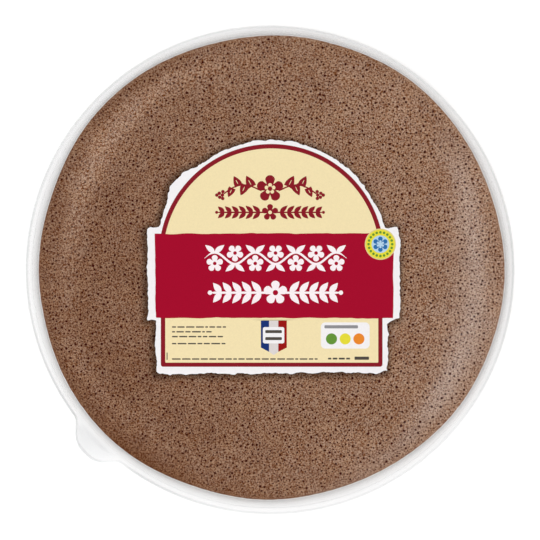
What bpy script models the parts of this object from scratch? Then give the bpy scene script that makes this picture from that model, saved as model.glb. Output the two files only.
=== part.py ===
"""A sealed round pack of six buckwheat crepes.

A shallow clear tray holds a stack of six thin crepes. A clear film is sealed
over the stack onto the tray's flange, and both end in a rounded peel tab. A
paper label with a torn-looking edge lies on the film. The origin is on the
tray's axis, in the plane of its flat base. +Y is the label's top.
"""

import bpy
import bmesh
import math
import random

# Stack of crepes, in metres
CREPE_COUNT = 6
CREPE_RADIUS = 0.1300
CREPE_THICKNESS = 0.0012
CREPE_EDGE_THICKNESS = 0.00075
EDGE_TAPER = 0.0220
TAPER_SHARES = (1.0, 0.66, 0.33)
EDGE_BULGE = 0.00025
LOWER_CREPE_SHRINK = 0.00036
OUTLINE_WOBBLE = 0.0004
WOBBLE_WAVES = (2, 3, 5, 8)
WOBBLE_SEED = 100
STACK_X = 0.0005
STACK_Y = 0.0012
GAP = 0.0003
CREPE_SIDES = 72

# Tray, turned about the origin
SHEET = 0.0004
TRAY_HEIGHT = 0.0050
FLANGE_RADIUS = 0.1365
RIM_RADIUS = 0.1323
WALL_FOOT_RADIUS = 0.1312
CORNER_RADIUS = 0.0020
FLANGE_FILLET = 0.0006

# Peel tab, at the lower left of the label
TAB_ANGLE = math.radians(224.9)
TAB_HALF_ANGLE = math.radians(8.0)
TAB_REACH = 0.0092
TAB_FULLNESS = 1.25
TAB_STEPS = 12
RING_STEPS = 78

# Lid film
FILM = 0.00015
SHOULDER_DROP = 0.0004
SEAL_START = 0.0010

# Label, in the photograph's proportions
LABEL_THICKNESS = 0.0002
ARCH_X = 0.0011
ARCH_Y = 0.0070
ARCH_RADIUS = 0.0650
ARCH_STEPS = 48
ARCH_SWELL = 0.0036
ARCH_SWELL_ANGLE = math.radians(142.0)
ARCH_SWELL_WIDTH = math.radians(9.6)
BAND_LEFT = -0.0680
BAND_RIGHT = 0.0724
BAND_TOP = 0.0237
BAND_BOTTOM = -0.0284
PANEL_LEFT = -0.0635
PANEL_RIGHT = 0.0659
PANEL_BOTTOM = -0.0580
LABEL_CORNER = 0.0012
DECKLE_STEP = 0.0034
DECKLE_DEPTH = 0.00045
DECKLE_SEED = 11

TAPER_RADII = [CREPE_RADIUS - share * EDGE_TAPER for share in TAPER_SHARES]
SMOOTH_BELOW = math.radians(50.0)


def clear_scene():
    for item in list(bpy.data.objects):
        bpy.data.objects.remove(item, do_unlink=True)


def make_material(name, colour, roughness, alpha=1.0):
    material = bpy.data.materials.new(name)
    material.use_nodes = True
    shader = material.node_tree.nodes["Principled BSDF"]
    shader.inputs["Base Color"].default_value = (*colour, 1.0)
    shader.inputs["Roughness"].default_value = roughness
    shader.inputs["Metallic"].default_value = 0.0
    shader.inputs["Alpha"].default_value = alpha
    return material


def add_object(name, bm, material):
    bmesh.ops.recalc_face_normals(bm, faces=bm.faces)
    mesh = bpy.data.meshes.new(name)
    bm.to_mesh(mesh)
    bm.free()
    mesh.materials.append(material)
    mesh.shade_smooth()
    mesh.set_sharp_from_angle(angle=SMOOTH_BELOW)
    item = bpy.data.objects.new(name, mesh)
    bpy.context.scene.collection.objects.link(item)
    return item


def skin(rings, bottom, top):
    """Joins rings of points from the bottom's centre out, over the edge and back to the top's centre."""
    bm = bmesh.new()
    loops = [[bm.verts.new(point) for point in ring] for ring in rings]
    first = bm.verts.new(bottom)
    last = bm.verts.new(top)
    count = len(loops[0])
    for i in range(count):
        j = (i + 1) % count
        bm.faces.new((first, loops[0][i], loops[0][j]))
        bm.faces.new((last, loops[-1][j], loops[-1][i]))
        for inner, outer in zip(loops, loops[1:]):
            bm.faces.new((inner[i], outer[i], outer[j], inner[j]))
    return bm


def crepe_thickness(radius):
    """A crepe is even in the middle and thins ever faster towards its edge."""
    share = min(max(1.0 - (CREPE_RADIUS - radius) / EDGE_TAPER, 0.0), 1.0)
    return CREPE_THICKNESS - share ** 2 * (CREPE_THICKNESS - CREPE_EDGE_THICKNESS)


def crepe_bottom(index, radius):
    return SHEET + GAP + index * (crepe_thickness(radius) + GAP)


def stack_top(radius):
    return crepe_bottom(CREPE_COUNT - 1, radius) + crepe_thickness(radius)


def stack_ring(angles, radii, heights):
    """A ring of points about the stack's own centre."""
    points = []
    for angle, radius, height in zip(angles, radii, heights):
        points.append((STACK_X + radius * math.cos(angle), STACK_Y + radius * math.sin(angle), height))
    return points


def crepe_outline(index, angles):
    """Radii of one crepe's edge: nearly round, each crepe a little different."""
    draw = random.Random(WOBBLE_SEED + index)
    waves = [(count, draw.uniform(0.0, 2.0 * math.pi)) for count in WOBBLE_WAVES]
    share = OUTLINE_WOBBLE / len(waves)
    mean = CREPE_RADIUS - LOWER_CREPE_SHRINK * (CREPE_COUNT - 1 - index)
    radii = []
    for angle in angles:
        radii.append(mean + sum(share * math.sin(count * angle + phase) for count, phase in waves))
    return radii


def make_crepe(index, material):
    """A thin disc with a soft edge that follows the crepes below it."""
    angles = [2.0 * math.pi * step / CREPE_SIDES for step in range(CREPE_SIDES)]
    edge = crepe_outline(index, angles)
    set_back = [radius - EDGE_BULGE for radius in edge]

    def low(radius):
        return crepe_bottom(index, radius)

    def high(radius):
        return crepe_bottom(index, radius) + crepe_thickness(radius)

    def middle(radius):
        return 0.5 * (low(radius) + high(radius))

    def ring(radii, height_at):
        return stack_ring(angles, radii, [height_at(radius) for radius in radii])

    rings = [ring([radius] * CREPE_SIDES, low) for radius in TAPER_RADII]
    rings.append(ring(set_back, low))
    rings.append(ring(edge, middle))
    rings.append(ring(set_back, high))
    rings += [ring([radius] * CREPE_SIDES, high) for radius in reversed(TAPER_RADII)]
    bm = skin(rings, (STACK_X, STACK_Y, low(0.0)), (STACK_X, STACK_Y, high(0.0)))
    return add_object(f"crepe_{index + 1}", bm, material)


def pack_angles():
    """Angles round the pack, closer together across the peel tab."""
    start = TAB_ANGLE - TAB_HALF_ANGLE
    angles = [start + 2.0 * TAB_HALF_ANGLE * step / TAB_STEPS for step in range(TAB_STEPS)]
    rest = 2.0 * math.pi - 2.0 * TAB_HALF_ANGLE
    angles += [TAB_ANGLE + TAB_HALF_ANGLE + rest * step / RING_STEPS for step in range(RING_STEPS)]
    return angles


def tab_reach(angle):
    """How far the peel tab stands out past the flange at this angle."""
    share = abs(angle - TAB_ANGLE) / TAB_HALF_ANGLE
    if share >= 1.0:
        return 0.0
    return TAB_REACH * math.cos(0.5 * math.pi * share ** TAB_FULLNESS) ** 2


def pack_ring(radius, height, reaches_tab=False):
    """A ring about the tray's axis. An outer ring follows the tab."""
    points = []
    for angle in pack_angles():
        r = radius + (tab_reach(angle) if reaches_tab else 0.0)
        points.append((r * math.cos(angle), r * math.sin(angle), height))
    return points


def arc(centre_r, centre_z, radius, start, end, steps):
    """Points of a round stretch of a turned section, angles in degrees."""
    points = []
    for step in range(steps + 1):
        angle = math.radians(start + (end - start) * step / steps)
        points.append((centre_r + radius * math.cos(angle), centre_z + radius * math.sin(angle)))
    return points


def make_tray(material):
    """One formed sheet: flat floor, round corner, leaning wall and flat flange with the tab."""
    foot = WALL_FOOT_RADIUS - CORNER_RADIUS
    corner_z = SHEET + CORNER_RADIUS
    flange_low = TRAY_HEIGHT - SHEET
    rim = RIM_RADIUS + FLANGE_FILLET
    outside = arc(foot, corner_z, CORNER_RADIUS + SHEET, -90.0, 0.0, 3)
    outside.append((RIM_RADIUS + SHEET, flange_low - FLANGE_FILLET + SHEET))
    outside.append((rim + 0.5 * SHEET, flange_low))
    inside = [(rim, TRAY_HEIGHT)]
    inside.append((RIM_RADIUS, TRAY_HEIGHT - FLANGE_FILLET))
    inside += arc(foot, corner_z, CORNER_RADIUS, 0.0, -90.0, 3)
    rings = [pack_ring(r, z) for r, z in outside]
    rings.append(pack_ring(FLANGE_RADIUS, flange_low, reaches_tab=True))
    rings.append(pack_ring(FLANGE_RADIUS, TRAY_HEIGHT, reaches_tab=True))
    rings += [pack_ring(r, z) for r, z in inside]
    bm = skin(rings, (0.0, 0.0, 0.0), (0.0, 0.0, SHEET))
    return add_object("tray", bm, material)


def make_lid_film(material):
    """Film drawn over the stack, bent down at its shoulder and sealed flat on the flange."""
    angles = pack_angles()

    def over_stack(radius, height):
        return stack_ring(angles, [radius] * len(angles), [height] * len(angles))

    seal = TRAY_HEIGHT + GAP
    widest = CREPE_RADIUS + OUTLINE_WOBBLE
    edge_z = stack_top(CREPE_RADIUS) + GAP
    over = [(r, stack_top(r) + GAP) for r in TAPER_RADII]
    over.append((widest, edge_z))
    over.append((widest + 2.0 * GAP, edge_z - SHOULDER_DROP))
    rings = [over_stack(r, z) for r, z in over]
    rings.append(pack_ring(RIM_RADIUS + SEAL_START, seal))
    rings.append(pack_ring(FLANGE_RADIUS, seal, reaches_tab=True))
    rings.append(pack_ring(FLANGE_RADIUS, seal + FILM, reaches_tab=True))
    rings.append(pack_ring(RIM_RADIUS + SEAL_START + 0.5 * FILM, seal + FILM))
    rings += [over_stack(r + 0.5 * FILM, z + FILM) for r, z in reversed(over)]
    low = stack_top(0.0) + GAP
    bm = skin(rings, (STACK_X, STACK_Y, low), (STACK_X, STACK_Y, low + FILM))
    return add_object("lid_film", bm, material)


def arch_radius(angle):
    """The arch is a circle with a wider paper margin at its upper left."""
    away = (angle - ARCH_SWELL_ANGLE) / ARCH_SWELL_WIDTH
    return ARCH_RADIUS + ARCH_SWELL * math.exp(-away ** 4)


def label_path():
    """Corner points of the label, clockwise from the arch's left foot, with the arch as a curve."""
    left = math.pi - math.asin((BAND_TOP - ARCH_Y) / ARCH_RADIUS)
    right = math.asin((BAND_TOP - ARCH_Y) / ARCH_RADIUS)
    path = []
    for step in range(ARCH_STEPS + 1):
        angle = left + (right - left) * step / ARCH_STEPS
        radius = arch_radius(angle)
        path.append((ARCH_X + radius * math.cos(angle), ARCH_Y + radius * math.sin(angle)))
    corners = (
        (BAND_RIGHT, BAND_TOP, 1.0, 0.0),
        (BAND_RIGHT, BAND_BOTTOM, 0.0, -1.0),
        (PANEL_RIGHT, BAND_BOTTOM, -1.0, 0.0),
        (PANEL_RIGHT, PANEL_BOTTOM, 0.0, -1.0),
        (PANEL_LEFT, PANEL_BOTTOM, -1.0, 0.0),
        (PANEL_LEFT, BAND_BOTTOM, 0.0, 1.0),
        (BAND_LEFT, BAND_BOTTOM, -1.0, 0.0),
        (BAND_LEFT, BAND_TOP, 0.0, 1.0),
    )
    for index, (x, y, dx, dy) in enumerate(corners):
        next_dx, next_dy = corners[(index + 1) % len(corners)][2:]
        if index == len(corners) - 1:
            next_dx, next_dy = 1.0, 0.0
        path.append((x - LABEL_CORNER * dx, y - LABEL_CORNER * dy))
        path.append((x + LABEL_CORNER * next_dx, y + LABEL_CORNER * next_dy))
    return path


def resample(path, step):
    """Points at even spacing along a closed path, with their outward normals."""
    lengths = [math.dist(a, b) for a, b in zip(path, path[1:] + path[:1])]
    total = sum(lengths)
    count = round(total / step)
    points = []
    at = 0.0
    index = 0
    for number in range(count):
        target = total * number / count
        while at + lengths[index] < target:
            at += lengths[index]
            index += 1
        a = path[index]
        b = path[(index + 1) % len(path)]
        share = (target - at) / lengths[index]
        point = (a[0] + share * (b[0] - a[0]), a[1] + share * (b[1] - a[1]))
        normal = (-(b[1] - a[1]) / lengths[index], (b[0] - a[0]) / lengths[index])
        points.append((point, normal))
    return points


def make_label(material):
    """Flat paper label whose edge wanders like torn paper."""
    draw = random.Random(DECKLE_SEED)
    outline = []
    for (x, y), (nx, ny) in resample(label_path(), DECKLE_STEP):
        push = draw.uniform(-DECKLE_DEPTH, DECKLE_DEPTH)
        outline.append((x + push * nx, y + push * ny))
    bottom = stack_top(0.0) + GAP + FILM + GAP
    bm = bmesh.new()
    low = [bm.verts.new((x, y, bottom)) for x, y in outline]
    high = [bm.verts.new((x, y, bottom + LABEL_THICKNESS)) for x, y in outline]
    bm.faces.new(low)
    bm.faces.new(high)
    for i in range(len(outline)):
        j = (i + 1) % len(outline)
        bm.faces.new((low[i], low[j], high[j], high[i]))
    caps = [face for face in bm.faces if len(face.verts) > 4]
    bmesh.ops.triangulate(bm, faces=caps)
    return add_object("label", bm, material)


def main():
    clear_scene()
    clear_plastic = make_material("clear_tray_plastic", (0.90, 0.91, 0.91), 0.12, alpha=0.35)
    clear_film = make_material("clear_lid_film", (0.93, 0.94, 0.95), 0.10, alpha=0.25)
    buckwheat = make_material("baked_buckwheat", (0.25, 0.135, 0.085), 0.75)
    paper = make_material("label_paper", (0.90, 0.87, 0.86), 0.55)
    make_tray(clear_plastic)
    for index in range(CREPE_COUNT):
        make_crepe(index, buckwheat)
    make_lid_film(clear_film)
    make_label(paper)


main()
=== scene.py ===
import math
import random

import bpy
import numpy as np
from mathutils.geometry import delaunay_2d_cdt
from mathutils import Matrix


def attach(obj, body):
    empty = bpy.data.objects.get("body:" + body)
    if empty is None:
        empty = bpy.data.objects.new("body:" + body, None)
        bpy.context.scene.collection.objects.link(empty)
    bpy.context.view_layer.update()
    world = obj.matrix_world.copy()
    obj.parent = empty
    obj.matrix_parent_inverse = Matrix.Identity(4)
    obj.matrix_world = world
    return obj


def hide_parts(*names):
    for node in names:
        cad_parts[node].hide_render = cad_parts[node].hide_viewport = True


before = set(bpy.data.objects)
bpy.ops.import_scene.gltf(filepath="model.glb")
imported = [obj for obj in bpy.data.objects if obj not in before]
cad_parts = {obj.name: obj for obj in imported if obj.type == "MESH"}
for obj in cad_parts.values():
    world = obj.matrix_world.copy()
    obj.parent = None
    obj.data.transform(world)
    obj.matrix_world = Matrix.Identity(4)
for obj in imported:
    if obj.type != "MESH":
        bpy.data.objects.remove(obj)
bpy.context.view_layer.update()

# Tray
# The lower half of the pack is one sheet of clear polyester, formed hot over a mould into a
# flat floor, a round corner and a leaning wall. It is then die-cut, with its flange and a
# rounded tab to peel from, and the cut leaves its edge a little bent down and frosted.
mm = 0.001
sheet = 0.4 * mm
tray_height = 5.0 * mm
flange_radius = 136.42 * mm
rim_radius = 132.3 * mm
wall_foot_radius = 131.2 * mm
corner_radius = 2.0 * mm
rim_fillet = 0.6 * mm
flange_start = rim_radius + rim_fillet
flange_steps = 15
wall_lean = 23.7
bead_inset = 0.75 * mm
bead_half_width = 0.45 * mm
bead_height = 0.12 * mm
cut_edge_width = 1.2 * mm
cut_edge_drop = 0.18 * mm
# How grey the plastic is at the bead and the tab's fold, and how hard each turn is pressed.
bead_grey_width = 0.63 * mm
bead_grey = 0.66
fold_grey = 0.4
bead_press = (
    (0.0, 1.2), (20.0, 1.1), (40.0, 0.7), (75.0, 0.75), (105.0, 0.7), (135.0, 0.7), (165.0, 1.0),
    (190.0, 1.0), (215.0, 1.5), (227.0, 1.35), (230.5, 0.45), (233.5, 0.6), (237.0, 1.5),
    (260.0, 0.6), (290.0, 0.6), (320.0, 0.45), (342.0, 1.0))
tab_angle = math.radians(224.6)
tab_reach = 9.35 * mm
tab_fold_width = 1.6 * mm
tab_side_angles = np.radians([7.95, 7.8])
tab_side_fullness = np.array([1.45, 1.6])
tab_frost = (0.44, 0.03)
mirror_head_on = 0.008
mirror_grazing = 0.90
pack_steps = 480
pack_angles = np.arange(pack_steps) * math.tau / pack_steps


def linear(hex_colour):
    """An sRGB hex colour as linear RGBA."""
    parts = [int(hex_colour[i:i + 2], 16) / 255.0 for i in (1, 3, 5)]
    return tuple([c / 12.92 if c <= 0.04045 else ((c + 0.055) / 1.055) ** 2.4 for c in parts] + [1.0])


def add(tree, kind, inputs=(), **settings):
    """Adds one shader node. An input is linked to a socket or to a node's first output, or set."""
    node = tree.nodes.new(kind)
    for key, value in settings.items():
        setattr(node, key, value)
    for key, value in dict(inputs).items():
        if isinstance(value, bpy.types.Node):
            value = value.outputs[0]
        if isinstance(value, bpy.types.NodeSocket):
            tree.links.new(value, node.inputs[key])
        else:
            node.inputs[key].default_value = value
    return node


def new_material(name):
    """An empty material and its node tree."""
    material = bpy.data.materials.new(name)
    material.use_nodes = True
    material.node_tree.nodes.clear()
    return material, material.node_tree


def smooth(value):
    """Eases from 0 to 1 as value does."""
    value = np.clip(value, 0.0, 1.0)
    return value * value * (3.0 - 2.0 * value)


def ring_points(radii, heights, centre=(0.0, 0.0)):
    """One closed ring of points on the pack's angles."""
    radii = np.broadcast_to(radii, pack_angles.shape)
    heights = np.broadcast_to(heights, pack_angles.shape)
    x = centre[0] + radii * np.cos(pack_angles)
    y = centre[1] + radii * np.sin(pack_angles)
    return np.stack([x, y, heights], axis=1)


def skin(rings, low, high):
    """Points and faces of a closed skin over rings, from a low middle point to a high one."""
    count = len(rings[0])
    points = np.concatenate([*rings, [low], [high]])
    i = np.arange(count)
    j = (i + 1) % count
    faces = []
    for k in range(len(rings) - 1):
        a, b = k * count, (k + 1) * count
        faces += np.stack([a + i, b + i, b + j, a + j], axis=1).tolist()
    first, last = len(rings) * count, len(rings) * count + 1
    top = (len(rings) - 1) * count
    faces += np.stack([np.full(count, first), i, j], axis=1).tolist()
    faces += np.stack([np.full(count, last), top + j, top + i], axis=1).tolist()
    return points, faces


def new_piece(name, points, faces, materials):
    """A smooth-shaded mesh object in the scene."""
    mesh = bpy.data.meshes.new(name)
    mesh.from_pydata(np.asarray(points).tolist(), [], faces)
    for material in materials:
        mesh.materials.append(material)
    mesh.validate()
    mesh.shade_smooth()
    piece = bpy.data.objects.new(name, mesh)
    bpy.context.scene.collection.objects.link(piece)
    return piece


def turn_faces_out(piece):
    """Turns a closed mesh right side out."""
    mesh = piece.data
    mesh.calc_loop_triangles()
    co = np.array([v.co for v in mesh.vertices])
    corners = np.empty(len(mesh.loop_triangles) * 3, int)
    mesh.loop_triangles.foreach_get("vertices", corners)
    a, b, c = co[corners.reshape(-1, 3)].transpose(1, 0, 2)
    volume = np.einsum("ij,ij->i", a, np.cross(b, c)).sum()
    if volume < 0.0:
        mesh.flip_normals()


def tab_stretch():
    """How far the tab stands out past the flange at each of the pack's angles."""
    side = (pack_angles > tab_angle).astype(int)
    share = np.clip(np.abs(pack_angles - tab_angle) / tab_side_angles[side], 0.0, 1.0)
    return tab_reach * np.cos(0.5 * math.pi * share ** tab_side_fullness[side]) ** 2


def round_stretch(centre_r, centre_z, radius, start, end, steps):
    """Points of a round stretch of a turned section, angles in degrees."""
    angles = np.radians(np.linspace(start, end, steps + 1))
    return list(zip(centre_r + radius * np.cos(angles), centre_z + radius * np.sin(angles)))


def flange_section(height):
    """Radii and heights along the flange, from its inner side to its cut edge."""
    section = []
    for share in np.linspace(0.0, 1.0, flange_steps):
        radius = flange_start + share * (flange_radius - flange_start)
        bead = bead_height * np.exp(-((flange_radius - bead_inset - radius) / bead_half_width) ** 2)
        drop = cut_edge_drop * smooth((radius - flange_radius + cut_edge_width) / cut_edge_width)
        section.append((radius, height + bead - drop))
    return section


def flange_rings(height, thickness):
    """Rings of a flange: its underside going out, its cut edge, and its top coming back."""
    stretch = tab_stretch()
    below, above = [], []
    for radius, z in flange_section(height):
        share = smooth((radius - flange_start) / (flange_radius - flange_start))
        out = radius + stretch * share
        below.append(ring_points(out, z - thickness))
        above.append(ring_points(out, z))
    return below + above[::-1]


def polar(piece, centre=(0.0, 0.0)):
    """Angles and radii of a piece's vertices about a centre."""
    co = np.array([v.co for v in piece.data.vertices])
    x, y = co[:, 0] - centre[0], co[:, 1] - centre[1]
    return np.arctan2(y, x) % (math.tau), np.hypot(x, y)


def bead_share(piece):
    """How grey the plastic is: most on the pressed bead, less at the tab's fold and frost."""
    angles, radii = polar(piece)
    turns, press = np.array(bead_press).T
    pressed = np.interp(np.degrees(angles), turns, press, period=360.0)
    stretch = np.interp(angles, pack_angles, tab_stretch(), period=math.tau)
    inward = flange_radius + stretch - radii
    bead = np.exp(-((inward - bead_inset) / bead_grey_width) ** 2)
    fold = np.exp(-((radii - flange_radius) / tab_fold_width) ** 2)
    fold = fold * np.clip(stretch / tab_reach, 0.0, 1.0)
    frost = np.interp(angles, tab_angle + tab_side_angles * [-1.0, 1.0], tab_frost)
    frost = frost * smooth((radii - flange_radius) / tab_fold_width) * (stretch > 0.0)
    return np.maximum(bead_grey * pressed * np.maximum(bead, fold_grey * fold), frost)


def mark(piece, name, values):
    """Stores one value for each vertex, for the material to read."""
    piece.data.attributes.new(name, "FLOAT", "POINT").data.foreach_set("value", values)


def clear_sheet(name, veil, crease_and_shade_veil, haze, roughness, wave_mm, wave_height):
    """Clear plastic: light passes it almost unbent, and each face mirrors a little of the room.

    To the eye it is a faint cool veil with broad soft highlights, greyer where it is creased and
    where shade is painted on.
    A veil is no colour but the share of light that each face lets through. The long shallow
    waves keep their real length.
    """
    material, tree = new_material(name)
    place = add(tree, "ShaderNodeTexCoord")
    wave = add(tree, "ShaderNodeTexNoise", {
        "Vector": place.outputs["Object"], "Scale": 1.0 / (wave_mm * mm), "Detail": 3.0})
    bump = add(tree, "ShaderNodeBump", {"Height": wave, "Distance": wave_height})
    facing = add(tree, "ShaderNodeLayerWeight", {"Blend": 0.5})
    power = add(tree, "ShaderNodeMath", {0: facing.outputs["Facing"], 1: 5.0}, operation="POWER")
    mirror = add(tree, "ShaderNodeMath", {
        0: power, 1: mirror_grazing, 2: mirror_head_on}, operation="MULTIPLY_ADD")
    crease_and_shade = add(tree, "ShaderNodeAttribute", attribute_name="crease_and_shade")
    colour = add(tree, "ShaderNodeMix", {
        0: crease_and_shade.outputs["Fac"], 6: (*veil, 1.0), 7: (*crease_and_shade_veil, 1.0)}, data_type="RGBA")
    through = add(tree, "ShaderNodeBsdfTransparent", {"Color": colour.outputs[2]})
    gloss = add(tree, "ShaderNodeBsdfGlossy", {
        "Color": linear("#FFFFFF"), "Roughness": roughness, "Normal": bump})
    clear = add(tree, "ShaderNodeMixShader", {0: mirror, 1: through, 2: gloss})
    milk = add(tree, "ShaderNodeBsdfTranslucent", {"Color": (0.95, 0.95, 0.96, 1.0)})
    whole = add(tree, "ShaderNodeMixShader", {0: haze, 1: clear, 2: milk})
    add(tree, "ShaderNodeOutputMaterial", {"Surface": whole})
    return material


foot = wall_foot_radius - corner_radius
corner_height = sheet + corner_radius
outer_side = round_stretch(foot, corner_height, corner_radius + sheet, -90.0, -wall_lean, 8)
outer_side.append((rim_radius + sheet, tray_height - rim_fillet))
inner_side = round_stretch(
    flange_start, tray_height - rim_fillet, rim_fillet, 120.0, 180.0 - wall_lean, 3)
inner_side += round_stretch(foot, corner_height, corner_radius, -wall_lean, -90.0, 8)
rings = [ring_points(r, z) for r, z in outer_side]
rings += flange_rings(tray_height, sheet)
rings += [ring_points(r, z) for r, z in inner_side]
points, faces = skin(rings, (0.0, 0.0, 0.0), (0.0, 0.0, sheet))
clear_polyester = clear_sheet(
    "clear_formed_polyester", (0.997, 0.998, 0.998), (0.894, 0.897, 0.900),
    haze=0.03, roughness=0.12, wave_mm=9.0, wave_height=0.05 * mm)
tray = new_piece("formed_tray", points, faces, [clear_polyester])
turn_faces_out(tray)
mark(tray, "crease_and_shade", bead_share(tray))
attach(tray, "root")
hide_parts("tray")

# Lower crepes
# Five thin rounds of buckwheat batter, baked on one side and laid on each other while warm.
# Only their edges show through the clear wall, and the underside of the lowest through the floor.
crepe_count = 6
crepe_radius = 130.0 * mm
crepe_thickness = 1.2 * mm
crepe_edge_thickness = 0.75 * mm
edge_taper = 22.0 * mm
edge_rounding = 0.25 * mm
lower_crepe_shrink = 0.36 * mm
layer_gap = 0.3 * mm
stack_centre = (0.5 * mm, 1.2 * mm)
ragged_depth = 0.12 * mm
# An outline's own slight wander, and the lobes that all share: their count, depth and turn.
wander_counts = (2, 3, 5, 8)
wander_depth = 0.1 * mm
outline_shrink = 0.40 * mm
outline_lobes = ((1, 0.08 * mm, 13.0), (2, 0.34 * mm, 16.4), (3, 0.39 * mm, -19.1),
                 (4, 0.39 * mm, -38.2), (5, 0.36 * mm, -9.9), (7, 0.09 * mm, 17.6),
                 (8, 0.30 * mm, -2.4), (12, 0.13 * mm, -3.1))
inner_shares = (0.831, 0.873, 0.915, 0.949, 0.975)


def thickness_at(radius):
    """A crepe is even in the middle and thins ever faster towards its edge."""
    share = np.clip(1.0 - (crepe_radius - radius) / edge_taper, 0.0, 1.0)
    return crepe_thickness - share ** 2 * (crepe_thickness - crepe_edge_thickness)


def crepe_low(index, radius):
    """Height of a crepe's underside, counted from 0 at the bottom of the stack."""
    return sheet + layer_gap + index * (thickness_at(radius) + layer_gap)


def crepe_high(index, radius):
    """Height of a crepe's top side."""
    return crepe_low(index, radius) + thickness_at(radius)


def crepe_outline(index):
    """Radii of one crepe's outline: nearly round, with the lobes of the plate it was baked on."""
    waves = random.Random(100 + index)
    shrink = lower_crepe_shrink * (crepe_count - 1 - index)
    radii = np.full(pack_steps, crepe_radius - shrink - outline_shrink)
    for count in wander_counts:
        radii += wander_depth * np.sin(count * pack_angles + waves.uniform(0.0, math.tau))
    for count, depth, turn in outline_lobes:
        radii += depth * np.cos(count * (pack_angles - math.radians(turn)))
    return radii


def crepe_edge(index):
    """Radii of one crepe's edge, its outline with a fine ragged line."""
    rag = np.random.default_rng(40 + index).normal(0.0, 1.0, pack_steps)
    rag = (rag + np.roll(rag, 1) + np.roll(rag, -1)) / 3.0
    return crepe_outline(index) - ragged_depth * np.abs(rag)


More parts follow.
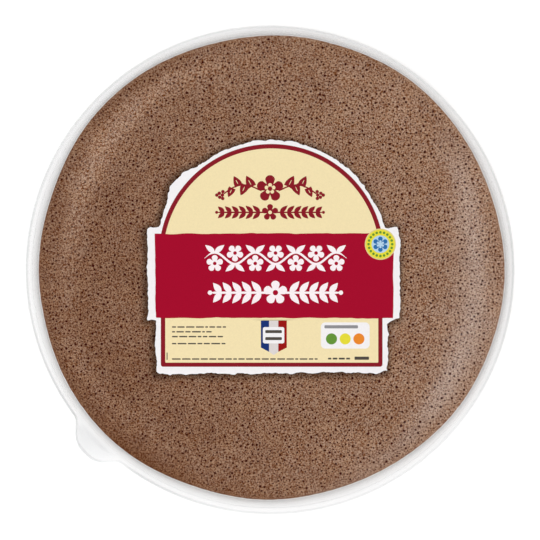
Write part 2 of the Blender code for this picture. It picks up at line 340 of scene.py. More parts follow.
def baked_batter(name):
    """Baked buckwheat batter: matt brown, mottled, pricked all over by burst bubbles.

    To the eye it is a warm grey-brown with pale crumb between dark dots of every size. Real
    crumb is finer than the picture can show, so the crumb and mottle are drawn coarser.
    """
    material, tree = new_material(name)
    where = add(tree, "ShaderNodeTexCoord").outputs["Object"]
    marked = {name: add(tree, "ShaderNodeAttribute", attribute_name=name).outputs["Fac"]
              for name in ("tone", "painted_sheen", "pore", "calm")}
    noise = {}
    for layer, size, detail in (
            ("blotches", 18.0, 0.0), ("warmth", 9.0, 1.0), ("mottle", 1.5, 2.0), ("crumb", 0.8, 1.0)):
        noise[layer] = add(tree, "ShaderNodeTexNoise", {
            "Vector": where, "Scale": 1.0 / (size * mm), "Detail": detail})
    uneven = add(tree, "ShaderNodeMath", {
        0: noise["mottle"], 1: 0.20, 2: -0.10}, operation="MULTIPLY_ADD")
    grain = add(tree, "ShaderNodeMath", {0: noise["crumb"], 1: uneven}, operation="ADD")
    pale_share = add(tree, "ShaderNodeMapRange", {"Value": grain, "From Min": 0.33, "From Max": 0.67})
    crumb_colour = add(tree, "ShaderNodeMix", {
        0: pale_share, 6: linear("#6A3813"), 7: linear("#AE8F77")}, data_type="RGBA")
    # Paler towards the right, darker towards the lower left; darker batter loses more green and blue
    # than red.
    paler_side = add(tree, "ShaderNodeVectorMath", {
        0: where, 1: (0.970 / crepe_radius, 0.242 / crepe_radius, 0.0)}, operation="DOT_PRODUCT")
    side_tone = add(tree, "ShaderNodeMapRange", {
        "Value": paler_side.outputs["Value"], "From Min": -1.0, "From Max": 1.0,
        "To Min": 0.68, "To Max": 1.135})
    blotch_tone = add(tree, "ShaderNodeMapRange", {
        "Value": noise["blotches"], "From Min": 0.3, "From Max": 0.7, "To Min": 0.95, "To Max": 1.05})
    tone = add(tree, "ShaderNodeMath", {0: side_tone, 1: blotch_tone}, operation="MULTIPLY")
    # The tone mark makes the crumb paler, a painted sheen, and darker, a painted shade along the
    # edge.
    banded = add(tree, "ShaderNodeMath", {
        0: marked["tone"], 1: tone, 2: tone}, operation="MULTIPLY_ADD")
    browning = add(tree, "ShaderNodeVectorMath", {
        0: banded, 1: (1.0, 1.3, 1.55), 2: (0.0, -0.28, -0.51)}, operation="MULTIPLY_ADD")
    toned = add(tree, "ShaderNodeVectorMath", {
        0: crumb_colour.outputs[2], 1: browning}, operation="MULTIPLY")
    warm_share = add(tree, "ShaderNodeMapRange", {
        "Value": noise["warmth"], "From Min": 0.35, "From Max": 0.65})
    tint = add(tree, "ShaderNodeMix", {
        0: warm_share, 6: (0.985, 1.0, 1.04, 1.0), 7: (1.015, 0.99, 0.95, 1.0)}, data_type="RGBA")
    tinted = add(tree, "ShaderNodeVectorMath", {0: toned, 1: tint.outputs[2]}, operation="MULTIPLY")
    # The sheen mark mixes in a pale grey: a painted sheen.
    sheened = add(tree, "ShaderNodeMix", {
        0: marked["painted_sheen"], 6: tinted, 7: linear("#C9BBB1")}, data_type="RGBA")
    # Bubbles too small to be pits in the mesh are dots, and both show least in the calm bands. Both
    # are
    # painted dark: the batter is browned in them, and painted shade darkens the hollows.
    dots = add(tree, "ShaderNodeTexVoronoi", {"Vector": where, "Scale": 1.0 / (1.35 * mm)})
    dot_size = add(tree, "ShaderNodeMapRange", {"Value": dots.outputs["Color"], "To Max": 0.29})
    dot_edge = add(tree, "ShaderNodeMath", {0: dot_size, 1: 0.10}, operation="ADD")
    dot = add(tree, "ShaderNodeMapRange", {
        "Value": dots.outputs["Distance"], "From Min": dot_size,
        "From Max": dot_edge, "To Min": 0.68, "To Max": 0.0})
    pit_shade = add(tree, "ShaderNodeMapRange", {
        "Value": marked["pore"], "From Min": 0.01, "From Max": 0.09})
    hollow_shade = add(tree, "ShaderNodeMath", {0: dot, 1: pit_shade}, operation="MAXIMUM")
    showing = add(tree, "ShaderNodeMath", {
        0: marked["calm"], 1: -1.0, 2: 1.0}, operation="MULTIPLY_ADD")
    shown = add(tree, "ShaderNodeMath", {0: hollow_shade, 1: showing}, operation="MULTIPLY")
    colour = add(tree, "ShaderNodeMix", {
        0: shown, 6: sheened.outputs[2], 7: linear("#3B0500")}, data_type="RGBA")
    relief = add(tree, "ShaderNodeMath", {
        0: dot, 1: -0.8, 2: noise["crumb"]}, operation="MULTIPLY_ADD")
    bump = add(tree, "ShaderNodeBump", {"Height": relief, "Distance": 0.15 * mm})
    shader = add(tree, "ShaderNodeBsdfPrincipled", {
        "Base Color": colour.outputs[2], "Roughness": 0.75, "Specular IOR Level": 0.1,
        "Normal": bump})
    add(tree, "ShaderNodeOutputMaterial", {"Surface": shader})
    return material


def underside_rings(index, edge):
    """Rings of a crepe's underside going out, and of the middle of its edge."""
    rings = [ring_points(edge * s, crepe_low(index, edge * s), stack_centre) for s in inner_shares]
    rings.append(ring_points(edge - edge_rounding, crepe_low(index, edge), stack_centre))
    middle = 0.5 * (crepe_low(index, edge) + crepe_high(index, edge))
    return rings + [ring_points(edge, middle, stack_centre)]


batter = baked_batter("baked_buckwheat_batter")
for index in range(crepe_count - 1):
    edge = crepe_edge(index)
    rings = underside_rings(index, edge)
    rings.append(ring_points(edge - edge_rounding, crepe_high(index, edge), stack_centre))
    rings += [ring_points(edge * s, crepe_high(index, edge * s), stack_centre)
              for s in inner_shares[::-1]]
    low = (*stack_centre, crepe_low(index, 0.0))
    high = (*stack_centre, crepe_high(index, 0.0))
    points, faces = skin(rings, low, high)
    crepe = new_piece(f"baked_crepe_{index + 1}", points, faces, [batter])
    turn_faces_out(crepe)
    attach(crepe, "root")
    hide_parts(f"crepe_{index + 1}")

# Top crepe
# The sixth crepe lies with its bubbled side up. Each bubble that burst in baking left a round
# or slightly oval pit, and the pits are real hollows in this mesh, by the thousand.
top_index = crepe_count - 1
pit_count = 11300
smallest_pit = 0.29 * mm
largest_pit = 0.74 * mm
pit_clearance = 0.62 * mm
pit_margin = 1.2 * mm
pit_depth = 0.65 * mm
shallow_pore = 0.35
ringed_pit = 0.52 * mm
small_pit_bias = 2.0
longest_stretch = 0.35
lip_jitter = 0.15
lip_room = 0.12 * mm
flat_spacing = 2.8 * mm
flat_jitter = 0.3
# Soft bands near the edge. Each place of a path is a turn in degrees, a radius and a half width
# in millimetres, and a share: of painted sheen, grey or warm, of painted shade, or of closed pits.
grey_sheen_path = (
    (-88.0, 127.0, 4.0, 0.0), (-75.0, 126.0, 4.0, 0.06), (-60.0, 123.6, 5.0, 0.13),
    (-45.0, 120.5, 5.0, 0.20), (-30.0, 116.6, 9.0, 0.27), (-15.0, 117.3, 13.5, 0.23),
    (0.0, 111.5, 11.0, 0.20), (15.0, 112.8, 8.0, 0.20), (30.0, 122.0, 7.2, 0.16),
    (42.0, 125.0, 6.0, 0.0))
warm_sheen_path = (
    (98.0, 117.0, 4.0, 0.0), (120.0, 118.4, 4.8, 0.32), (135.0, 116.8, 8.0, 0.37),
    (150.0, 115.0, 10.0, 0.44), (165.0, 110.8, 7.4, 0.40), (180.0, 113.0, 8.0, 0.22),
    (195.0, 119.0, 6.7, 0.11), (210.0, 117.6, 4.4, 0.25), (225.0, 114.3, 5.0, 0.14),
    (238.0, 114.0, 4.0, 0.0))
edge_shade_path = (
    (48.0, 131.0, 6.0, 0.0), (62.0, 129.0, 6.0, -0.07), (75.0, 128.0, 6.0, -0.08),
    (92.0, 128.0, 4.0, -0.04), (120.0, 127.5, 3.5, -0.13), (138.0, 127.5, 3.5, -0.11),
    (158.0, 128.0, 3.0, 0.0), (198.0, 131.0, 6.0, 0.0), (210.0, 131.0, 6.0, -0.06),
    (225.0, 131.0, 8.0, -0.26), (240.0, 130.5, 9.0, -0.38), (255.0, 129.0, 7.0, -0.17),
    (270.0, 129.0, 6.0, -0.17), (285.0, 129.0, 6.0, -0.11), (300.0, 127.0, 6.0, -0.08),
    (314.0, 127.0, 6.0, 0.0))
calm_paths = (
    ((108.0, 118.0, 4.0, 0.0), (122.0, 118.4, 5.5, 0.34), (150.0, 115.0, 9.0, 0.38),
     (175.0, 112.0, 7.0, 0.28), (192.0, 116.0, 5.0, 0.0)),
    ((200.0, 131.0, 4.0, 0.0), (220.0, 130.0, 7.0, 0.55), (238.0, 129.0, 9.0, 0.80),
     (256.0, 129.5, 6.0, 0.60), (280.0, 130.0, 4.0, 0.0)))
pit_draw = np.random.default_rng(7)


def grid_places(columns, rows):
    """Every place of a grid, row after row."""
    return np.stack([axis.ravel() for axis in np.meshgrid(columns, rows)], axis=1)


def inside(x, y, margin):
    """Whether a place on the top crepe lies at least a margin inside its edge."""
    reach = np.interp(math.atan2(y, x), pack_angles, top_edge, period=math.tau)
    return math.hypot(x, y) < reach - margin


def clear_of_pits(x, y, room):
    """Whether a place keeps more than this room to the lip of every pit near it."""
    column, row = int(x // pit_cell), int(y // pit_cell)
    return all(
        math.hypot(x - pit[0], y - pit[1]) > room + pit[2] * pit[3]
        for i in (-1, 0, 1) for j in (-1, 0, 1) for pit in pit_cells.get((column + i, row + j), ()))


def scatter_pits():
    """Places, radii, stretches and turns of pits that keep clear of each other."""
    pits = []
    while len(pits) < pit_count:
        x, y = pit_draw.uniform(-crepe_radius, crepe_radius, 2)
        radius = smallest_pit + (largest_pit - smallest_pit) * pit_draw.random() ** small_pit_bias
        stretch = 1.0 + longest_stretch * pit_draw.random() ** 2
        turn = pit_draw.uniform(0.0, math.pi)
        lip = radius * stretch
        if inside(x, y, pit_margin + lip) and clear_of_pits(x, y, lip + pit_clearance):
            pits.append((x, y, radius, stretch, turn))
            pit_cells.setdefault((int(x // pit_cell), int(y // pit_cell)), []).append(pits[-1])
    return pits


def pit_points(pit):
    """A pit's lip, its wall and its floor: flat places with how deep each lies, from 0 to 1.

    A ring is its share of the radius, its share of the depth and its count of points.
    """
    x, y, radius, stretch, turn = pit
    rings = ((1.0, 0.0, 6), (0.0, 1.0, 1))
    if radius > ringed_pit:
        rings = ((1.0, 0.0, 7), (0.6, 0.8, 4), (0.0, 1.0, 1))
    found = []
    for share, depth, count in rings:
        for step in range(count):
            angle = turn + math.tau * (step + pit_draw.uniform(-lip_jitter, lip_jitter)) / count
            along = radius * stretch * share * math.cos(angle)
            across = radius * share * math.sin(angle)
            px = x + along * math.cos(turn) - across * math.sin(turn)
            py = y + along * math.sin(turn) + across * math.cos(turn)
            found.append((px, py, depth * radius / largest_pit))
    return found


def soft_band(places, path):
    """A soft band that follows a path of turns in degrees, with its radius, half width and share."""
    turns, centres, widths, shares = np.array(path).T
    turned = (np.degrees(np.arctan2(places[:, 1], places[:, 0])) - turns[0]) % 360.0
    off = np.hypot(places[:, 0], places[:, 1]) - np.interp(turned, turns - turns[0], centres * mm)
    width = np.interp(turned, turns - turns[0], widths * mm)
    return np.interp(turned, turns - turns[0], shares) * np.exp(-(off / width) ** 2)


top_edge = crepe_edge(top_index) - edge_rounding
pit_cell = 2.0 * (1.0 + longest_stretch) * largest_pit + pit_clearance
pit_cells = {}
pitted = np.array([point for pit in scatter_pits() for point in pit_points(pit)])
steps = np.arange(-crepe_radius, crepe_radius, flat_spacing)
even = grid_places(steps, steps)
even = even + pit_draw.uniform(-flat_jitter, flat_jitter, even.T.shape).T * flat_spacing
flat = [(x, y, 0.0) for x, y in even
        if inside(x, y, 0.5 * flat_spacing) and clear_of_pits(x, y, lip_room)]
spots = np.concatenate([ring_points(top_edge, 0.0), flat, pitted])
found = delaunay_2d_cdt(
    [tuple(p) for p in spots[:, :2]], [], [list(range(pack_steps))], 1, 1e-9, True)
origin = [sources[0] for sources in found[3]]
spots = spots[origin]
places = np.array([tuple(p) for p in found[0]])
reach = np.hypot(*places.T)
places = places + stack_centre
filled = sum(soft_band(places, path) for path in calm_paths)
surface = crepe_high(top_index, reach) - spots[:, 2] * pit_depth * (1.0 - filled)
top_points = np.column_stack([places, surface])
slot_of = {source: number for number, source in enumerate(origin)}
rim = [slot_of[i] for i in range(pack_steps)]
side = underside_rings(top_index, crepe_edge(top_index))[::-1]
start = len(top_points)
points = np.concatenate([top_points, *side, [(*stack_centre, crepe_low(top_index, 0.0))]])
faces = [list(face) for face in found[2]]
loops = [rim] + [[start + k * pack_steps + i for i in range(pack_steps)] for k in range(len(side))]
for upper, lower in zip(loops, loops[1:]):
    for i in range(pack_steps):
        j = (i + 1) % pack_steps
        faces.append([upper[j], upper[i], lower[i], lower[j]])
for i in range(pack_steps):
    faces.append([loops[-1][(i + 1) % pack_steps], loops[-1][i], len(points) - 1])
crepe = new_piece(f"baked_crepe_{crepe_count}", points, faces, [batter])
turn_faces_out(crepe)
pores = np.zeros(len(points))
pores[:len(spots)] = np.where(
    spots[:, 2] > 0.0, shallow_pore + (1.0 - shallow_pore) * spots[:, 2], 0.0)
mark(crepe, "pore", pores)
mark(crepe, "calm", sum(soft_band(points, path) for path in calm_paths))
# Painted sheen in grey, and a tone of painted warm sheen and painted edge shade.
mark(crepe, "painted_sheen", soft_band(points, grey_sheen_path))
mark(crepe, "tone", soft_band(points, warm_sheen_path) + soft_band(points, edge_shade_path))
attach(crepe, "root")
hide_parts(f"crepe_{crepe_count}")

# Lid film
# A thin clear film is drawn tight over the stack and heat-sealed to the flange and the tab.
# It bends down over the stack's shoulder and puckers where it dips to the seal.
film = 0.15 * mm
film_gap = 0.3 * mm
side_gap = 0.4 * mm
seal_gap = 0.1 * mm
pucker_depth = 0.10 * mm
pucker_counts = (37, 53, 71, 96, 113)
# Where the film's painted shade starts past the stack's edge, and how fast it fades.
film_shade_start = 0.1 * mm
film_shade_fade = 1.5 * mm
film_bead = 0.5
pucker_draw = np.random.default_rng(21)
puckers = np.zeros(pack_steps)
for count in pucker_counts:
    puckers += np.sin(count * pack_angles + pucker_draw.uniform(0.0, math.tau))
puckers *= 0.5 + 0.5 * np.sin(3.0 * pack_angles + 1.0) * np.sin(7.0 * pack_angles)
outline = crepe_outline(top_index)
seal_height = tray_height + seal_gap
section = []
for share in np.linspace(0.0, 1.0, 12):
    radius = crepe_radius - (1.0 - share) * edge_taper + share * (outline - crepe_radius)
    height = crepe_high(top_index, radius) + film_gap
    section.append((radius, height, stack_centre))
# From the stack's shoulder the film falls ever more steeply to the seal.
widest = outline + side_gap
for share in np.linspace(0.0, 1.0, 9):
    drop = 0.25 * share + 0.75 * share ** 1.35
    fold = pucker_depth * puckers * math.sin(math.pi * share)
    level = height + (seal_height - height) * drop + fold
    centre = np.multiply(stack_centre, 1.0 - share)
    section.append((widest + share * (flange_start - widest), level, centre))
rings = [ring_points(radius, z, centre) for radius, z, centre in section]
rings += flange_rings(seal_height + film, film)
rings += [ring_points(radius, z + film, centre) for radius, z, centre in section[::-1]]
middle = crepe_high(top_index, 0.0) + film_gap
points, faces = skin(rings, (*stack_centre, middle), (*stack_centre, middle + film))
clear_film = clear_sheet(
    "clear_sealed_film", (0.997, 0.997, 0.998), (0.870, 0.870, 0.868),
    haze=0.005, roughness=0.19, wave_mm=6.0, wave_height=0.03 * mm)
lid = new_piece("sealed_film", points, faces, [clear_film])
turn_faces_out(lid)
angles, radii = polar(lid, stack_centre)
past_stack = radii - np.interp(angles, pack_angles, outline, period=math.tau)
# Next to the stack's edge the film is painted greyer, fading outwards: a painted shade.
film_edge_shade = np.where(past_stack > film_shade_start, np.exp(-past_stack / film_shade_fade), 0.0)
mark(lid, "crease_and_shade", np.clip(film_edge_shade + film_bead * bead_share(lid), 0.0, 1.0))
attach(lid, "root")
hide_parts("lid_film")

# Label
# One sheet of coated paper lies glued on the film: an arch over a wide band over a panel. Its
# edge is torn, not cut, and shows the white core. It is printed in flat inks with generic
# marks only: a buckwheat sprig, two garlands, a plain badge, a striped ribbon and grey bars.
# Sizes here are in millimetres until the mesh is made, and in_mm takes a pixel of the photo.
pixel = 0.5577
pixel_middle = (269.52, 269.38)
paper_top = 10.12
paper_thickness = 0.12
torn_thickness = 0.04
torn_drop = 0.05
paper_lift = 0.20
lift_middle = (1.5, 7.0)
lift_reach = (72.0, 64.0)
ripple_height = 0.02
arch_centre = (1.1, 7.0)
arch_radius = 65.0
arch_swell = 3.6
swell_angle = math.radians(142.0)
swell_width = math.radians(9.6)
band_top = 23.7
right_foot_row = 216.0
torn_spacing = 0.55
torn_waves = ((5.0, 0.36), (2.1, 0.34), (1.1, 0.20))
label_draw = np.random.default_rng(11)
# The label lies nearer to the camera than the flange does, so it is drawn a little smaller.
view_scale = 0.9944
sheet_middle = np.array([0.27, -0.35])
view_middle = np.array([-0.01, -0.07])
fields = []


def printed(ink, outline):
    """Puts one flat field of an ink on the sheet, over all fields before it."""
    outline = [tuple(point) for point in outline]
    area = sum(a[0] * b[1] - b[0] * a[1] for a, b in zip(outline, outline[1:] + outline[:1]))
    fields.append((ink, outline if area > 0.0 else outline[::-1]))


def square_to(tangents):
    """Directions of length 1 that stand square to a path's tangents."""
    tangents = tangents / np.hypot(*tangents.T)[:, None]
    return np.column_stack([-tangents[:, 1], tangents[:, 0]])


def ragged(path, spacing, waves):
    """A closed path at even spacing, pushed in and out by smooth noise of (length, depth) waves."""
    ring = np.array([*path, path[0]])
    along = np.concatenate([[0.0], np.cumsum(np.hypot(*np.diff(ring, axis=0).T))])
    count = round(along[-1] / spacing)
    at = np.arange(count) * along[-1] / count
    points = np.column_stack([np.interp(at, along, axis) for axis in ring.T])
    push = np.zeros(count)
    for length, depth in waves:
        knots = max(round(along[-1] / length), 4)
        values = label_draw.uniform(-depth, depth, knots)
        share = np.arange(count) * knots / count
        low = share.astype(int)
        here, after = values[low % knots], values[(low + 1) % knots]
        push += here + smooth(share - low) * (after - here)
    tangents = np.roll(points, -2, axis=0) - np.roll(points, 2, axis=0)
    return points + push[:, None] * square_to(tangents)


def arc(x, y, radius, start, end, steps):
    """Points along a round arc, angles in degrees."""
    angles = np.radians(np.linspace(start, end, steps + 1))
    return [(x + radius * math.cos(a), y + radius * math.sin(a)) for a in angles]


def disc(x, y, radius, steps=24):
    """Outline of a round disc."""
    return arc(x, y, radius, 0.0, 360.0 * (steps - 1) / steps, steps - 1)


def rounded(left, bottom, right, top, radius, steps=5):
    """Outline of a rectangle with round corners."""
    return (arc(right - radius, bottom + radius, radius, -90.0, 0.0, steps)
            + arc(right - radius, top - radius, radius, 0.0, 90.0, steps)
            + arc(left + radius, top - radius, radius, 90.0, 180.0, steps)
            + arc(left + radius, bottom + radius, radius, 180.0, 270.0, steps))


def flower(x, y, radius, petals=5, turn=90.0, steps=8):
    """Outline of an open flower with round petals."""
    angles = np.arange(petals * steps) * math.tau / (petals * steps)
    reach = radius * (0.42 + 0.58 * np.abs(np.cos(0.5 * petals * angles)) ** 0.45)
    angles = angles + math.radians(turn)
    return zip(x + reach * np.cos(angles), y + reach * np.sin(angles))


def leaf(x, y, length, width, turn, heart=0.0, steps=8):
    """Outline of a leaf from its stalk, pointed, or with the lobes of a buckwheat leaf."""
    shares = np.linspace(0.0, 1.0, steps + 1)
    half = 0.5 * width * np.sin(math.pi * shares ** (0.80 - 0.35 * heart)) ** (1.0 - 0.25 * heart)
    back = length * (shares - heart * 0.30 * np.exp(-(shares / 0.16) ** 2) * (shares > 0.0))
    along = np.concatenate([back, back[-2:0:-1]])
    across = np.concatenate([half, -half[-2:0:-1]])
    c, s = math.cos(math.radians(turn)), math.sin(math.radians(turn))
    return zip(x + along * c - across * s, y + along * s + across * c)


def stroke(points, width):
    """Outline of a stem drawn along points, thin at both ends."""
    points = np.array(points)
    shares = np.linspace(0.0, 1.0, len(points))
    half = 0.5 * width * np.clip(np.minimum(shares, 1.0 - shares) / 0.06, 0.25, 1.0)
    half = half[:, None] * square_to(np.gradient(points, axis=0))
    return [*(points + half), *(points - half)[::-1]]


def flowering_vine(ink, ground, left, right, level, swing, bends, size):
    """A waving stem with a flower in each hollow and a leaf on each crest."""
    xs = np.linspace(left, right, 12 * bends + 1)
    phase = (xs - left) / (right - left) * bends * math.pi
    printed(ink, stroke(list(zip(xs, level + swing * np.sin(phase))), 0.26 * size))
    for bend in range(bends):
        x = left + (bend + 0.5) * (right - left) / bends
        side = 1.0 if bend % 2 == 0 else -1.0
        y = level - side * 0.62 * size
        printed(ink, flower(x, y, size, turn=90.0 * side))
        printed(ground, disc(x, y, 0.22 * size, 10))
        for lean in (38.0, 142.0):
            printed(ink, leaf(x, level + side * swing, 1.45 * size, 0.62 * size, side * lean))


def leafy_branch(ink, ground, left, right, level, pairs, size, lean=42.0):
    """Two straight branches from a flower in the middle, with paired leaves and end buds."""
    middle = 0.5 * (left + right)
    inner = 0.95 * size
    span = 0.5 * (right - left) - inner - 0.75 * size
    for way in (1.0, -1.0):
        end = middle + way * 0.5 * (right - left)
        printed(ink, stroke([(x, level) for x in np.linspace(middle, end, 15)], 0.15 * size))
        for pair in range(pairs):
            x = middle + way * (inner + span * pair / (pairs - 1))
            for side in (1.0, -1.0):
                turn = side * lean if way > 0.0 else 180.0 - side * lean
                printed(ink, leaf(x, level, size * (1.0 - 0.18 * pair / pairs), 0.42 * size, turn))
        printed(ink, disc(end, level, 0.15 * size, 12))
    printed(ink, flower(middle, level, 0.80 * size))
    printed(ground, disc(middle, level, 0.18 * size, 12))


def sprig(ink, ground, x, y, side, reach):
    """One arm of a buckwheat sprig: a drooping stem, heart-shaped leaves and a head of buds."""
    shares = np.linspace(0.0, 1.0, 25)
    stem = [(x + side * reach * t, y + 5.2 * math.sin(2.9 * t) - 3.4 * t) for t in shares]
    printed(ink, stroke(stem, 0.8))
    for share, above in ((0.24, True), (0.40, False), (0.57, True), (0.73, False)):
        sx, sy = stem[round(24 * share)]
        lean = 62.0 if above else -66.0
        turn = lean if side > 0.0 else 180.0 - lean
        printed(ink, leaf(sx, sy, 7.4 - 2.6 * share, 5.6 - 2.0 * share, turn, heart=1.0))
        vein = [(sx + t * math.cos(math.radians(turn)), sy + t * math.sin(math.radians(turn)))
                for t in np.linspace(1.0, 4.6 - 2.0 * share, 5)]
        printed(ground, stroke(vein, 0.34))
    end = stem[-1]
    for dx, dy in ((0.0, 0.0), (1.7, 1.0), (1.5, -1.2), (3.1, 0.0), (-0.3, 1.9), (-0.2, -1.9)):
        printed(ink, disc(end[0] + side * dx, end[1] + dy, 1.0, 10))


def in_mm(px, py):
    """A place in millimetres from the pack's middle for a pixel of the photo."""
    return (px - pixel_middle[0]) * pixel, (pixel_middle[1] - py) * pixel


def small_print(left, right, row, height):
    """A row of small print from pixel to pixel, as plain grey bars of word length."""
    x, level = in_mm(left, row)
    end = in_mm(right, row)[0]
    while x < end - 1.0:
        word = label_draw.uniform(1.4, 5.2)
        bar = rounded(x, level - 0.5 * height, min(x + word, end), level + 0.5 * height, 0.2, 1)
        printed("print_grey", bar)
        x += word + 0.75


foot_angle = math.asin((band_top - arch_centre[1]) / arch_radius)
arch = []
for angle in np.linspace(math.pi - foot_angle, foot_angle, 91):
    radius = arch_radius + arch_swell * math.exp(-((angle - swell_angle) / swell_width) ** 4)
    x = arch_centre[0] + radius * math.cos(angle)
    y = arch_centre[1] + radius * math.sin(angle)
    if x < 0.0 or y > in_mm(0.0, right_foot_row)[1]:
        arch.append((x, y))
sheet_outline = arch + [in_mm(*corner) for corner in (
    (385.4, 227.7), (397.2, 226.9), (398.6, 233.5), (400.0, 240.0), (399.8, 314.0), (399.2, 318.2),
    (391.0, 321.8), (387.9, 324.0), (387.7, 371.2), (383.0, 371.6), (376.0, 373.8), (372.0, 372.8),
    (158.2, 374.2), (156.2, 372.0), (156.0, 320.4), (147.7, 320.4), (147.2, 232.0), (148.0, 229.4),
    (150.6, 227.5))]
torn = ragged(sheet_outline, torn_spacing, torn_waves)
printed("paper", torn)

# A dark red frame line runs round the arch and the panel, and the red band lies over both.
frame_end = 11.0
for ink, radius in (("dark_red", 62.9), ("cream", 60.45)):
    printed(ink, arc(*arch_centre, radius, 180.0 - frame_end, frame_end, 80))
printed("dark_red", rounded(-60.6, -54.3, 63.0, -20.0, 1.3))
printed("cream", rounded(-58.15, -52.0, 60.65, -20.0, 0.3, 1))
band = [(-64.0, 19.9), (66.0, 20.1), (69.2, 15.5), (69.0, -27.3), (-63.6, -27.1)]
printed("red", ragged(band, 1.1, ((9.0, 0.32), (3.0, 0.14))))

# A sprig stands over a leafy branch under the arch, and a garland over a branch on the band.
leafy_branch("dark_red", "cream", -29.5, 30.1, 31.8, 6, 5.8)
for side in (-1.0, 1.0):
    sprig("dark_red", "cream", 0.3 + 4.6 * side, 43.6, side, 22.0)
printed("dark_red", flower(0.3, 45.0, 7.6))
printed("cream", flower(0.3, 45.0, 3.1))
printed("dark_red", disc(0.3, 45.0, 1.3, 14))
flowering_vine("white_ink", "red", -36.2, 42.9, 6.2, 3.2, 7, 4.7)
leafy_branch("white_ink", "red", -33.2, 39.8, -13.0, 5, 8.4, 50.0)

# A plain badge with twenty dots and a flower.
badge = in_mm(380.4, 244.2)
printed("pale_yellow", disc(*badge, 8.7, 48))
printed("yellow", disc(*badge, 8.1, 48))
for angle in np.radians(np.arange(20) * 18.0):
    dot = (badge[0] + 6.6 * math.cos(angle), badge[1] + 6.6 * math.sin(angle))
    printed("leaf_green", disc(*dot, 0.75, 10))
printed("sky_blue", disc(*badge, 4.9, 36))
printed("blue", flower(*badge, 4.3, 6))
printed("sky_blue", flower(*badge, 2.2, 6))

# A ribbon in three plain stripes hangs from the band, pointed, with a pale field on it.
ribbon_x, ribbon_top = in_mm(274.2, 320.6)
stripe_sides = [in_mm(column, 0.0)[0] for column in (260.9, 269.1, 278.3, 286.8)]
shoulder = in_mm(0.0, 347.6)[1]
tip = in_mm(273.8, 355.0)
beside_tip = tip[1] + 0.42 * (shoulder - tip[1])
lows = (shoulder, beside_tip, beside_tip, shoulder)
pale_field = (*in_mm(262.9, 343.4), *in_mm(284.3, 327.1))
bar_rows, bar_left, bar_right, bar_half = (331.6, 338.6), 265.3, 281.9, 1.5
printed("shade", [(ribbon_x - 13.0, ribbon_top + 0.5), (ribbon_x, ribbon_top - 0.4),
                  (ribbon_x + 13.0, ribbon_top + 0.5)])
for k, (ink, point) in enumerate((("flag_blue", []), ("ribbon_white", [tip]), ("flag_red", []))):
    left, right = stripe_sides[k:k + 2]
    printed(ink, [
        (left, lows[k]), *point, (right, lows[k + 1]), (right, ribbon_top), (left, ribbon_top)])
printed("paper", rounded(*pale_field, 1.0, 3))
for row in bar_rows:
    bar = (*in_mm(bar_left, row + bar_half), *in_mm(bar_right, row - bar_half))
    printed("print_grey", rounded(*bar, 0.4, 2))

# A white field with a grey bar and three plain discs, then rows of small print and two marks.
white_field = (*in_mm(320.9, 348.6), *in_mm(369.6, 322.4))
field_bar = (*in_mm(324.4, 328.4), *in_mm(358.0, 325.2))
disc_row, disc_columns = 338.9, (331.5, 345.2, 358.9)
print_rows = (
    (172.0, 226.0, 327.0, 0.75), (172.0, 214.0, 331.8, 0.75), (172.0, 226.0, 336.6, 0.75),
    (172.0, 226.0, 343.6, 0.75), (172.0, 319.0, 359.0, 0.75), (328.0, 350.0, 358.6, 1.0))
right_mark = (*in_mm(354.5, 359.8), *in_mm(369.0, 356.6))
left_mark = (*in_mm(166.6, 360.0), *in_mm(167.6, 352.4))
printed("paper", rounded(*white_field, 2.4))
printed("mid_grey", rounded(*field_bar, 0.5, 2))
for ink, column in zip(("leaf_green", "yellow", "orange"), disc_columns):
    printed(ink, disc(*in_mm(column, disc_row), 3.1, 28))
for left, right, row, height in print_rows:
    small_print(left, right, row, height)
printed("print_grey", rounded(*right_mark, 0.3, 2))
printed("print_grey", rounded(*left_mark, 0.2, 1))


def only_used(faces):
    """Which points the faces use, and the faces numbered by those points alone."""
    used = np.unique(np.concatenate(faces))
    renumber = {old: new for new, old in enumerate(used)}
    return used, [[renumber[i] for i in face] for face in faces]


def printed_paper(name, colour, sheen):
    """Coated paper under one flat ink: even colour, faint fibres, a soft satin sheen.

    Real fibres are finer than the picture can show, so they are drawn coarser.
    """
    material, tree = new_material(name)
    place = add(tree, "ShaderNodeTexCoord")
    fibre = add(tree, "ShaderNodeTexNoise", {
        "Vector": place.outputs["Object"], "Scale": 1.0 / (0.9 * mm), "Detail": 3.0})
    tone = add(tree, "ShaderNodeMapRange", {
        "Value": fibre, "From Min": 0.3, "From Max": 0.7, "To Min": 0.975, "To Max": 1.025})
    base = add(tree, "ShaderNodeVectorMath", {
        0: linear(colour)[:3], "Scale": tone}, operation="SCALE")
    bump = add(tree, "ShaderNodeBump", {"Height": fibre, "Distance": 0.02 * mm})
    shader = add(tree, "ShaderNodeBsdfPrincipled", {
        "Base Color": base, "Roughness": sheen, "Specular IOR Level": 0.06, "Normal": bump})
    add(tree, "ShaderNodeOutputMaterial", {"Surface": shader})
    return material


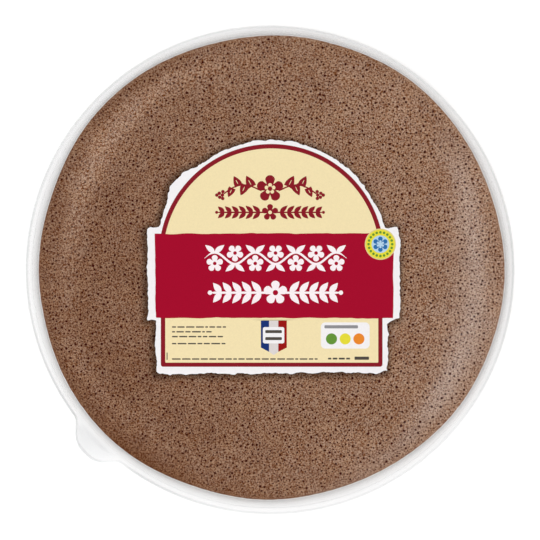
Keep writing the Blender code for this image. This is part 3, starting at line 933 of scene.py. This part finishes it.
inks = {
    "paper": "#E5E2E3", "dark_red": "#7F1622", "cream": "#E4D3A6", "red": "#990326",
    "white_ink": "#ECE2E4", "yellow": "#D8CE36", "pale_yellow": "#D3C383",
    "leaf_green": "#5E8A34", "sky_blue": "#A9C6DA", "blue": "#28659E", "flag_blue": "#162E6B",
    "flag_red": "#8E0F0D", "ribbon_white": "#CFC8C6", "shade": "#B4A67F", "orange": "#DC7F29",
    "mid_grey": "#868588", "print_grey": "#4A443E"}
ink_slots = {name: number for number, name in enumerate(inks)}
corners, loops = [], []
for ink, outline in fields:
    loops.append(list(range(len(corners), len(corners) + len(outline))))
    corners += outline
steps = np.arange(-72.0, 76.0, 3.0)
corners += [tuple(place) for place in grid_places(steps, steps)]
found = delaunay_2d_cdt(corners, [], loops, 1, 1e-5, True)
places = np.array([tuple(p) for p in found[0]])
keep = [(face, max(sources)) for face, sources in zip(found[2], found[5]) if 0 in sources]
torn_ring = set(range(len(torn)))
at_edge = np.array([any(source in torn_ring for source in sources) for sources in found[3]])
from_middle = np.clip(np.hypot(*((places - lift_middle) / lift_reach).T), 0.0, 1.0)
top_z = paper_top + paper_lift * from_middle ** 4
top_z += ripple_height * np.sin(places[:, 0] / 9.0 + 1.0) * np.cos(places[:, 1] / 7.0)
top_z = np.where(at_edge, top_z - torn_drop, top_z)
places = view_middle + view_scale * (places - sheet_middle)
top_points = np.column_stack([places, top_z])
low_points = top_points - [0.0, 0.0, paper_thickness]
low_points[at_edge, 2] = top_points[at_edge, 2] - torn_thickness
edges = dict.fromkeys((a, b) for face, ink in keep for a, b in zip(face, face[1:] + face[:1]))
count = len(places)
faces = [list(face) for face, ink in keep]
faces += [[i + count for i in face[::-1]] for face, ink in keep]
slots = [ink_slots[fields[ink][0]] for face, ink in keep] + [0] * len(keep)
for a, b in edges:
    if (b, a) not in edges:
        faces.append([b, a, a + count, b + count])
        slots.append(0)
points = np.vstack([top_points, low_points]) * mm
used, faces = only_used(faces)
label = new_piece("printed_label", points[used], faces, [
    printed_paper(f"{name}_on_coated_paper", colour, 0.5) for name, colour in inks.items()])
label.data.polygons.foreach_set("material_index", slots)
label.data.set_sharp_from_angle(angle=math.radians(40.0))
turn_faces_out(label)
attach(label, "root")
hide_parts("label")

# Painted label shadow
# A soft painted shadow lies on the film round the label, wider at its left and bottom. It
# makes the torn paper look raised, and fades out over a few millimetres.
shade_height = 9.88
shade_margin = 12.0
shade_tuck = 4.0
shade_step = 0.9
shade_shift = np.array([-0.9, -0.35])
shade_reach = 1.95
shade_blur = 1.5
shade_strength = 0.52
shade_fade = 4.2
# A logistic curve this many times as steep stands for a blurred edge.
blur_fit = 1.702


def distance_out(spots, outline):
    """How far each spot lies outside a closed outline, less than 0 inside it."""
    start = np.array(outline)[None]
    end = np.roll(start, -1, axis=1)
    span = end - start
    way = spots[:, None] - start
    share = np.clip((way * span).sum(2) / (span ** 2).sum(2), 0.0, 1.0)
    away = np.hypot(*(way - share[..., None] * span).transpose(2, 0, 1)).min(1)
    level = (start[..., 1] > spots[:, None, 1]) != (end[..., 1] > spots[:, None, 1])
    height = np.where(np.abs(span[..., 1]) < 1e-9, 1e-9, span[..., 1])
    left = way[..., 0] < span[..., 0] * way[..., 1] / height
    return np.where((level & left).sum(1) % 2 == 1, -away, away)


def painted_shadow_film(name):
    """A painted shadow on clear film: it only darkens what lies behind it."""
    material, tree = new_material(name)
    cover = add(tree, "ShaderNodeAttribute", attribute_name="cover")
    clear = add(tree, "ShaderNodeBsdfTransparent")
    black = add(tree, "ShaderNodeBsdfDiffuse", {"Color": linear("#1A1410"), "Roughness": 0.6})
    whole = add(tree, "ShaderNodeMixShader", {0: cover.outputs["Fac"], 1: clear, 2: black})
    add(tree, "ShaderNodeOutputMaterial", {"Surface": whole})
    return material


low = np.min(sheet_outline, axis=0) - shade_margin
high = np.max(sheet_outline, axis=0) + shade_margin
columns, rows = [np.arange(*ends, shade_step) for ends in zip(low, high)]
spots = grid_places(columns, rows)
number = np.arange(len(spots)).reshape(len(rows), len(columns))
away = distance_out(spots - shade_shift, sheet_outline).reshape(number.shape)
cover = 1.0 / (1.0 + np.exp(blur_fit * (away - shade_reach) / shade_blur))
least = 1.0 / (1.0 + math.exp(blur_fit * shade_fade / shade_blur))
cover = shade_strength * np.clip((cover - least) / (1.0 - least), 0.0, 1.0)
shaded = (cover > 0.0) & (away > -shade_tuck)
faces = []
for row in range(len(rows) - 1):
    for column in range(len(columns) - 1):
        if shaded[row:row + 2, column:column + 2].any():
            faces.append([number[row, column], number[row, column + 1],
                          number[row + 1, column + 1], number[row + 1, column]])
used, faces = only_used(faces)
spots = view_middle + view_scale * (spots[used] - sheet_middle)
points = np.column_stack([spots, np.full(len(spots), shade_height)]) * mm
shade = new_piece("painted_label_shadow", points, faces, [painted_shadow_film("painted_shadow_on_clear_film")])
mark(shade, "cover", cover.ravel()[used])
shade.visible_shadow = False
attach(shade, "root")

# Floor, light and camera
# The pack lies on a plain white surface under soft studio light, seen from straight above.
# The world is bright low down and dark overhead, so the flat film mirrors next to nothing.
floor_radius = 1.0
floor_height = -0.05 * mm
scene = bpy.context.scene
# White matt paint: an even bright ground without a sheen.
material, tree = new_material("matt_white_paint")
paint = add(tree, "ShaderNodeBsdfPrincipled", {
    "Base Color": linear("#FFFFFF"), "Roughness": 0.9, "Specular IOR Level": 0.1})
add(tree, "ShaderNodeOutputMaterial", {"Surface": paint})
ground = new_piece(
    "studio_floor", ring_points(floor_radius, floor_height), [list(range(pack_steps))], [material])

world = bpy.data.worlds.new("studio_world")
scene.world = world
world.use_nodes = True
tree = world.node_tree
tree.nodes.clear()
place = add(tree, "ShaderNodeTexCoord")
split = add(tree, "ShaderNodeSeparateXYZ", {"Vector": place.outputs["Generated"]})
rise = add(tree, "ShaderNodeMapRange", {
    "Value": split.outputs["Z"], "From Min": 0.1, "From Max": 0.75, "To Min": 0.95, "To Max": 0.05},
    interpolation_type="SMOOTHSTEP")
sky = add(tree, "ShaderNodeBackground", {"Color": linear("#FFFFFF"), "Strength": rise})
add(tree, "ShaderNodeOutputWorld", {"Surface": sky})


def softbox(name, turn, height, distance, width, depth, radiance, glossy, diffuse):
    """A soft rectangular lamp aimed at the pack, at a turn and a height in degrees."""
    lamp = bpy.data.lights.new(name, "AREA")
    lamp.shape = "RECTANGLE"
    lamp.size = width
    lamp.size_y = depth
    lamp.energy = radiance * math.pi * width * depth
    holder = bpy.data.objects.new(name, lamp)
    a, e = math.radians(turn), math.radians(height)
    holder.location = (distance * math.cos(e) * math.cos(a), distance * math.cos(e) * math.sin(a),
                       distance * math.sin(e))
    holder.rotation_euler = (0.5 * math.pi - e, 0.0, a + 0.5 * math.pi)
    holder.visible_glossy = glossy
    holder.visible_diffuse = diffuse
    scene.collection.objects.link(holder)


softbox("overhead_lamp", 0.0, 90.0, 1.6, 3.0, 3.0, 1.63, False, True)
softbox("key_lamp", 225.0, 40.0, 1.1, 0.5, 0.5, 1.6, False, True)
softbox("right_sheen", -10.0, 69.0, 1.5, 0.80, 0.32, 2.7, True, False)
softbox("left_sheen", 150.0, 70.5, 1.5, 0.50, 0.24, 1.2, True, False)

# The picture is 540 pixels wide, and its pixel size holds at about the height of the flange.
picture_width = 540 * pixel * mm
picture_plane = 5.5 * mm
lens_length = 100.0
sensor_width = 36.0
camera = bpy.data.objects.new("camera", bpy.data.cameras.new("camera"))
camera.data.lens = lens_length
camera.data.sensor_width = sensor_width
camera.location = (*view_middle * mm, picture_plane + picture_width * lens_length / sensor_width)
scene.collection.objects.link(camera)
scene.camera = camera
scene.view_settings.view_transform = "Standard"
scene.cycles.transparent_max_bounces = 24
